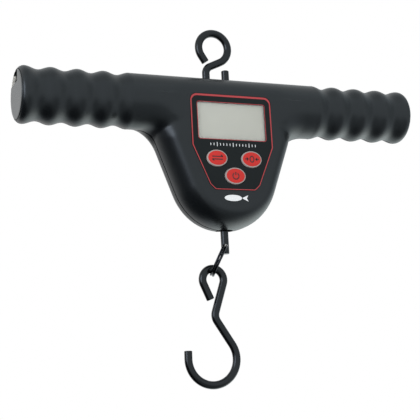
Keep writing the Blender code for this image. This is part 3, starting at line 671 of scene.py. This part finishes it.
def build_face():
    """The panel with its window and key holes, and the red lines printed round its edge and its window."""
    panel = mesh_object("face_panel_skin", *prism(panel_outline(), PANEL_Y, PANEL_Y + 1.0, 0.12))
    tools = [mesh_object("window_tool", *prism(window_outline(), PANEL_Y - 3, PANEL_Y + 4))]
    for key, (x, z) in KEYS.items():
        around = oval(x, z, KEY_W + 0.2, KEY_H + 0.2)
        tools.append(mesh_object(f"{key}_tool", *prism(around, PANEL_Y - 3, PANEL_Y + 4)))
    cut(panel, tools)
    piece(panel, "panel_black", "housing", stands_for=("face_panel",))
    outer = panel_outline(-0.1)
    at_sides = ramp(outer[:, 1], PANEL_WAIST_Z - 4, PANEL_WAIST_Z + 4)
    at_top = ramp(outer[:, 1], -1.4, 1.6)
    band("panel_border", outer, 0.4 + 0.3 * at_sides + 0.35 * at_top)
    outer = window_outline(0.3, 1.3)
    band("window_border", outer, [0.3] * len(outer))


def band(name, outer, widths):
    """A printed line on the panel. Its width is given at each point of its outer edge."""
    inner = np.stack([inset(outer, w)[k] for k, w in enumerate(widths)])
    count, front_y = len(outer), PANEL_Y - PRINT_T
    points = [(x, front_y, z) for x, z in outer] + [(x, front_y, z) for x, z in inner]
    points += [(x, PANEL_Y - 0.002, z) for x, z in outer] + [(x, PANEL_Y - 0.002, z) for x, z in inner]
    faces = []
    for k in range(count):
        n = (k + 1) % count
        faces.append([k, n, count + n, count + k])
        faces.append([2 * count + k, 3 * count + k, 3 * count + n, 2 * count + n])
        faces.append([k, 2 * count + k, 2 * count + n, n])
        faces.append([count + k, count + n, 3 * count + n, 3 * count + k])
    return piece(mesh_object(name, points, faces), "print_red", "housing")


def printed_marks(name, outlines, front_y):
    """White print on a flat face, as one piece made of separate thin shapes."""
    points, faces = [], []
    for outline in outlines:
        more_points, more_faces = prism(outline, front_y - PRINT_T, front_y + 0.05)
        faces += [[len(points) + k for k in face] for face in more_faces]
        points += more_points
    piece(mesh_object(name, points, faces), "print_white", "housing")


def build_marks():
    """Plain ticks between the window and the keys, and a plain fish below the panel."""
    ticks = []
    for k in range(-7, 8):
        x, half_h = k * TICK_STEP, TICK_H if k % 5 == 0 else TICK_H * 0.6
        low, high = TICKS_Z - half_h, TICKS_Z + half_h
        ticks.append([(x - TICK_W, high), (x + TICK_W, high), (x + TICK_W, low), (x - TICK_W, low)])
    printed_marks("panel_ticks", ticks, PANEL_Y)
    tail = [(3.7, 0.25), (7.0, 1.7), (6.1, 0), (7.0, -1.7), (3.7, -0.25)]
    tail = [(x, FISH_Z + z) for x, z in tail]
    printed_marks("fish_mark", [oval(-1.7, FISH_Z, 5.0, 1.7, 40), tail], FLAT_Y)


def build_display():
    """The clear window in the panel, and the display's grey glass behind it."""
    points, faces = prism(window_outline(-0.05), PANEL_Y + 0.1, PANEL_Y + 0.5, 0.1)
    lens = mesh_object("display_lens_skin", points, faces)
    piece(lens, "clear_plastic", "housing", stands_for=("display_lens",))
    points, faces = prism(window_outline(-0.03), PANEL_Y + 1.05, PANEL_Y + 3.2, 0.1)
    glass = mesh_object("display_glass_skin", points, faces)
    piece(glass, "display_grey", "housing", stands_for=("display_glass",))


def build_key(key, x, z):
    """A key with a light skirt and a domed red top."""
    top_y, back_y = PANEL_Y - KEY_PROUD, PANEL_Y + KEY_DEPTH
    rings = [(back_y + 0.8, 0.9), (back_y, 0.9), (back_y, 0.0), (top_y + 0.55, 0.0)]
    rings += [(top_y + 0.3, -0.12), (top_y + 0.2, -0.4), (top_y + 0.2, -0.6), (top_y + 0.6, -0.6)]
    skirt = mesh_object(f"{key}_key_skirt", *stack(x, z, rings))
    piece(skirt, "key_skirt", f"{key}_key", stands_for=(f"{key}_key",))
    rings = [(top_y + 0.55, -0.62), (top_y + 0.22, -0.62), (top_y + 0.12, -0.75), (top_y + 0.05, -1.2)]
    rings += [(top_y + 0.02, -2.0), (top_y, -3.2), (top_y, -4.3)]
    cap = mesh_object(f"{key}_key_top", *stack(x, z, rings), sharp_angle=50)
    piece(cap, "key_red", f"{key}_key")
    return top_y


def stack(x, z, rings, steps=64):
    """Points and faces of ovals stacked along Y, as (y, growth) pairs."""
    points, faces = [], []
    for y, grow in rings:
        points += [(px, y, pz) for px, pz in oval(x, z, KEY_W + grow, KEY_H + grow, steps)]
    for level in range(len(rings) - 1):
        base = level * steps
        for k in range(steps):
            n = (k + 1) % steps
            faces.append([base + k, base + n, base + steps + n, base + steps + k])
    faces += [list(range(steps)), list(range((len(rings) - 1) * steps, len(rings) * steps))]
    return points, faces


def arc(x, z, radius, start, end, steps=24):
    turns = np.radians(np.linspace(start, end, steps))
    return [(x + radius * math.cos(a), z + radius * math.sin(a)) for a in turns]


def symbol_strokes(key):
    """Each key's symbol as lines about the key's centre."""
    if key == "power":
        return [arc(0, -0.15, 1.75, 125, 415), [(0, 0.3), (0, 2.0)]]
    if key == "tare":
        left = [[(-4.0, 0), (-2.2, 0)], [(-3.0, 0.8), (-2.2, 0), (-3.0, -0.8)]]
        right = [[(-x, z) for x, z in line] for line in left]
        zero = [(1.15 * math.cos(a), 1.6 * math.sin(a)) for a in np.linspace(0, math.tau, 28)]
        return left + right + [zero]
    upper = [[(-3.0, 0.75), (3.0, 0.75)], [(2.0, 1.65), (3.0, 0.75)]]
    lower = [[(-x, -z) for x, z in line] for line in upper]
    return upper + lower


def build_symbol(key, x, z, top_y):
    """The key's symbol in dark print, a little proud of its top."""
    points, faces = [], []
    for line in symbol_strokes(key):
        line = np.array(line, float)
        ahead = np.gradient(line, axis=0)
        ahead /= np.linalg.norm(ahead, axis=1, keepdims=True)
        across = np.stack([-ahead[:, 1], ahead[:, 0]], 1) * STROKE_W / 2
        base = len(points)
        for level in (top_y - PRINT_T, top_y + 0.1):
            points += [(x + a, level, z + b) for a, b in line + across]
            points += [(x + a, level, z + b) for a, b in line - across]
        n = len(line)
        for k in range(n - 1):
            faces.append([base + k, base + k + 1, base + n + k + 1, base + n + k])
            faces.append([base + 2 * n + k, base + 3 * n + k, base + 3 * n + k + 1, base + 2 * n + k + 1])
            faces.append([base + k, base + 2 * n + k, base + 2 * n + k + 1, base + k + 1])
            faces.append([base + n + k, base + n + k + 1, base + 3 * n + k + 1, base + 3 * n + k])
        for k in (0, n - 1):
            faces.append([base + k, base + n + k, base + 3 * n + k, base + 2 * n + k])
    made = mesh_object(f"{key}_key_symbol", points, faces)
    piece(made, "print_dark", f"{key}_key")


# Wire pieces -----------------------------------------------------------------------------------


def bent_wire(start, pins, end, step=math.radians(5)):
    """The middle of a wire that runs from start to end round pins of (x, z, radius, turn)."""
    stops = [(*start, 0, 1), *pins, (*end, 0, 1)]
    headings = []
    for (x, z, radius, turn), (next_x, next_z, next_radius, next_turn) in zip(stops, stops[1:]):
        across = Vector((next_x - x, next_z - z))
        offset = (next_turn * next_radius - turn * radius) / across.length
        headings.append(math.atan2(across.y, across.x) - math.asin(offset))
    points = [start]
    for (x, z, radius, turn), arrive, leave in zip(pins, headings, headings[1:]):
        swept = (leave - arrive) * turn % math.tau
        count = max(2, math.ceil(swept / step))
        for k in range(count + 1):
            heading = arrive + turn * swept * k / count
            points.append((x + turn * radius * math.sin(heading), z - turn * radius * math.cos(heading)))
    return points + [end]


def ring_frame():
    """Turns the ring's own axes, where it hangs straight down facing +X, to its place."""
    return Matrix.Rotation(RING_TURN, 3, "Z") @ Matrix.Rotation(RING_LEAN, 3, "Y")


def build_top_hook():
    """The fixed hook: an eye at the top, a neck, and a bend inside the handle with a short free end."""
    pins = [(-0.6, 35.2, 8.7, -1), (-1.3, 20.3, 4.5, 1), (0, 8.3, 5.8, 1)]
    path = [(x, LOAD_Y, z) for x, z in bent_wire((-5.6, 26.8), pins, (5.8, 22.4))]
    hook = mesh_object("top_hook_wire", *tube(path, HOOK_R - SKIN_GAP))
    piece(hook, "black_enamel", "top_hook", stands_for=("top_hook",))


def build_split_ring():
    """Two turns of wire side by side, which cross over once."""
    path = []
    for k in range(RING_POINTS + 1):
        angle = RING_FIRST + (RING_LAST - RING_FIRST) * k / RING_POINTS
        crossing = ramp(math.degrees(angle), CROSSING_START, CROSSING_START + CROSSING_SWEEP)
        aside = RING_STEP * (crossing - 0.5)
        local = Vector((aside, RING_R * math.cos(angle), RING_R * math.sin(angle) - RING_R))
        path.append(tuple(ring_frame() @ local + ROD_HOLE))
    ring = mesh_object("split_ring_wire", *tube(path, RING_WIRE_R - SKIN_GAP, sides=14, chamfer=0.12))
    piece(ring, "spring_steel", "split_ring", stands_for=("split_ring",))


def build_bottom_hook():
    """The load hook: an eye on the split ring, a neck, and a bowl that is open to the left."""
    eye = ROD_HOLE + ring_frame() @ Vector((EYE_ASIDE, 0, -EYE_DROP))
    pins = [(0, -EYE_R, EYE_R, -1), (6.2, -25.2, 6.0, 1), (-2.6, -48.25, BOWL_R, -1)]
    path = bent_wire((-2.0, -16.75), pins, (-2.6 - BOWL_R + 0.1, -43.75))
    path = [(eye.x + x, eye.y, eye.z + z) for x, z in path]
    hook = mesh_object("bottom_hook_wire", *tube(path, HOOK_R - SKIN_GAP))
    piece(hook, "black_enamel", "bottom_hook", stands_for=("bottom_hook",))


def build_pull_rod():
    """The rod, with an oval cross hole that the split ring's two turns fill."""
    path = [(0, LOAD_Y, z) for z in (ROD_END_Z, -72.0, -60.0, ROD_TOP_Z)]
    rod = mesh_object("pull_rod_skin", *tube(path, ROD_R - SKIN_GAP, 32))
    points, faces = prism(oval(0, -0.1, 1.42, 0.85, 28), -6, 6)
    turned = np.array(points) @ np.array(Matrix.Rotation(RING_TURN, 3, "Z").transposed())
    cut(rod, [mesh_object("cross_hole", turned + np.array(ROD_HOLE), faces)])
    piece(rod, "black_enamel", "pull_rod", stands_for=("pull_rod",))


# Stage -----------------------------------------------------------------------------------------


def build_camera():
    ahead = CAMERA_UP.cross(CAMERA_RIGHT)
    data = bpy.data.cameras.new("camera")
    data.sensor_width, data.lens = 36, LENS
    data.clip_start, data.clip_end = 0.01, 50
    camera = bpy.data.objects.new("camera", data)
    bpy.context.scene.collection.objects.link(camera)
    turn = Matrix((CAMERA_RIGHT, CAMERA_UP, -ahead)).transposed().to_4x4()
    camera.matrix_world = Matrix.Translation(Vector(to_row(CAMERA_SPOT)[0])) @ turn
    bpy.context.scene.camera = camera


def build_world():
    world = bpy.data.worlds.new("white_room")
    world.use_nodes = True
    shade = world.node_tree.nodes["Background"]
    shade.inputs["Color"].default_value = (1, 1, 1, 1)
    shade.inputs["Strength"].default_value = 1.0
    bpy.context.scene.world = world
    bpy.context.scene.view_settings.view_transform = "Standard"


def build_floor(steps=24):
    points, faces = [], []
    for i in range(steps + 1):
        for j in range(steps + 1):
            points.append((FLOOR_SIZE * (2 * i / steps - 1), FLOOR_SIZE * (2 * j / steps - 1), FLOOR_Z))
    for i in range(steps):
        for j in range(steps):
            base = i * (steps + 1) + j
            faces.append([base, base + 1, base + steps + 2, base + steps + 1])
    mesh = bpy.data.meshes.new("floor")
    mesh.from_pydata(points, [], faces)
    floor = bpy.data.objects.new("floor", mesh)
    bpy.context.scene.collection.objects.link(floor)
    mesh.materials.append(surface("pale_floor", (0.8, 0.8, 0.79), 0.7, mottle=0.01))
    floor.visible_glossy = False


def toward(turn, lift):
    """A direction in degrees: the turn runs from the front to the right, and the lift is above level."""
    turn, lift = math.radians(turn), math.radians(lift)
    return Vector((math.sin(turn) * math.cos(lift), -math.cos(turn) * math.cos(lift), math.sin(lift)))


# What the glossy surfaces see round them, as (turn, lift, inner angle, outer angle, colour).
TENT_COLOUR = (0.78, 0.9, 0.98)
LOBES = [
    (180, 30, 50, 85, (0.72, 0.76, 0.78)),
    (180, -5, 20, 45, (1.0, 1.02, 1.03)),
    (0, 90, 10, 35, (0.55, 0.62, 0.66)),
    (15, -52, 16, 48, (0.32, 0.38, 0.42)),
    (85, 15, 10, 50, (0.45, 0.53, 0.58)),
    (130, -36, 16, 40, (1.25, 1.42, 1.42)),
    (0, -90, 8, 34, (0.2, 0.24, 0.26)),
    (-100, -44, 34, 54, (0.0, 0.005, 0.015)),
]


def tent_shape(rings=24, sides=48):
    """A round mesh that faces inwards."""
    points, faces = [(0, 0, TENT_R), (0, 0, -TENT_R)], []
    for i in range(1, rings):
        down = math.pi * i / rings
        for j in range(sides):
            turn = math.tau * j / sides
            across = TENT_R * math.sin(down)
            points.append((across * math.cos(turn), across * math.sin(turn), TENT_R * math.cos(down)))
    for j in range(sides):
        n = (j + 1) % sides
        faces.append([0, 2 + j, 2 + n])
        last = 2 + (rings - 2) * sides
        faces.append([1, last + n, last + j])
        for i in range(rings - 2):
            base = 2 + i * sides
            faces.append([base + j, base + sides + j, base + sides + n, base + n])
    return points, faces


def tent_glow():
    """An even glow with soft round lobes laid over it in turn."""
    made = bpy.data.materials.new("light_tent")
    made.use_nodes = True
    nodes, links = made.node_tree.nodes, made.node_tree.links
    nodes.clear()
    where = nodes.new("ShaderNodeTexCoord")
    towards = nodes.new("ShaderNodeVectorMath")
    towards.operation = "NORMALIZE"
    links.new(where.outputs["Object"], towards.inputs[0])
    colour = None
    for turn, lift, inner, outer, shade in LOBES:
        dot = nodes.new("ShaderNodeVectorMath")
        dot.operation = "DOT_PRODUCT"
        dot.inputs[1].default_value = toward(turn, lift)
        links.new(towards.outputs[0], dot.inputs[0])
        amount = nodes.new("ShaderNodeMapRange")
        amount.interpolation_type = "SMOOTHSTEP"
        amount.inputs["From Min"].default_value = math.cos(math.radians(outer))
        amount.inputs["From Max"].default_value = math.cos(math.radians(inner))
        links.new(dot.outputs["Value"], amount.inputs["Value"])
        mix = nodes.new("ShaderNodeMix")
        mix.data_type = "RGBA"
        mix.inputs["A"].default_value = (*TENT_COLOUR, 1)
        if colour:
            links.new(colour, mix.inputs["A"])
        mix.inputs["B"].default_value = (*shade, 1)
        links.new(amount.outputs["Result"], mix.inputs["Factor"])
        colour = mix.outputs["Result"]
    glow = nodes.new("ShaderNodeEmission")
    links.new(colour, glow.inputs["Color"])
    out = nodes.new("ShaderNodeOutputMaterial")
    links.new(glow.outputs[0], out.inputs["Surface"])
    return made


def build_tent():
    """A light tent that only reflections see. It doesn't show behind the object."""
    points, faces = tent_shape()
    mesh = bpy.data.meshes.new("light_tent")
    mesh.from_pydata(points, [], faces)
    mesh.materials.append(tent_glow())
    tent = bpy.data.objects.new("light_tent", mesh)
    bpy.context.scene.collection.objects.link(tent)
    tent.visible_camera = False
    tent.visible_diffuse = False
    tent.visible_shadow = False
    tent.visible_transmission = False


def softbox(name, turn, lift, distance, width, height, glow, colour):
    """An oval area light that faces the scale. Its glow is the brightness of its face."""
    data = bpy.data.lights.new(name, "AREA")
    data.shape = "ELLIPSE"
    data.size, data.size_y = width, height
    face_area = width * height * math.pi / 4
    data.energy = glow * math.pi * face_area
    data.color = colour
    light = bpy.data.objects.new(name, data)
    bpy.context.scene.collection.objects.link(light)
    away = toward(turn, lift)
    facing = away.to_track_quat("Z", "Y").to_matrix().to_4x4()
    light.matrix_world = Matrix.Translation(away * distance) @ facing
    light.visible_camera = False


build_camera()
build_world()
softbox("left_strip", -66, 7, distance=1.6, width=0.75, height=1.15, glow=4.2, colour=(0.74, 0.84, 1.0))
softbox("right_low", 130, -36, distance=1.8, width=1.0, height=1.0, glow=0.5, colour=(1.0, 1.0, 1.0))
build_floor()
build_tent()
build_housing()
for cap_name, cap_side in (("left_end_cap", -1), ("right_end_cap", 1)):
    end_cap(cap_name, cap_side)
    notch_strip(cap_name, cap_side)
build_face()
build_marks()
build_display()
for key_name, (key_x, key_z) in KEYS.items():
    build_symbol(key_name, key_x, key_z, build_key(key_name, key_x, key_z))
build_top_hook()
build_split_ring()
build_bottom_hook()
build_pull_rod()
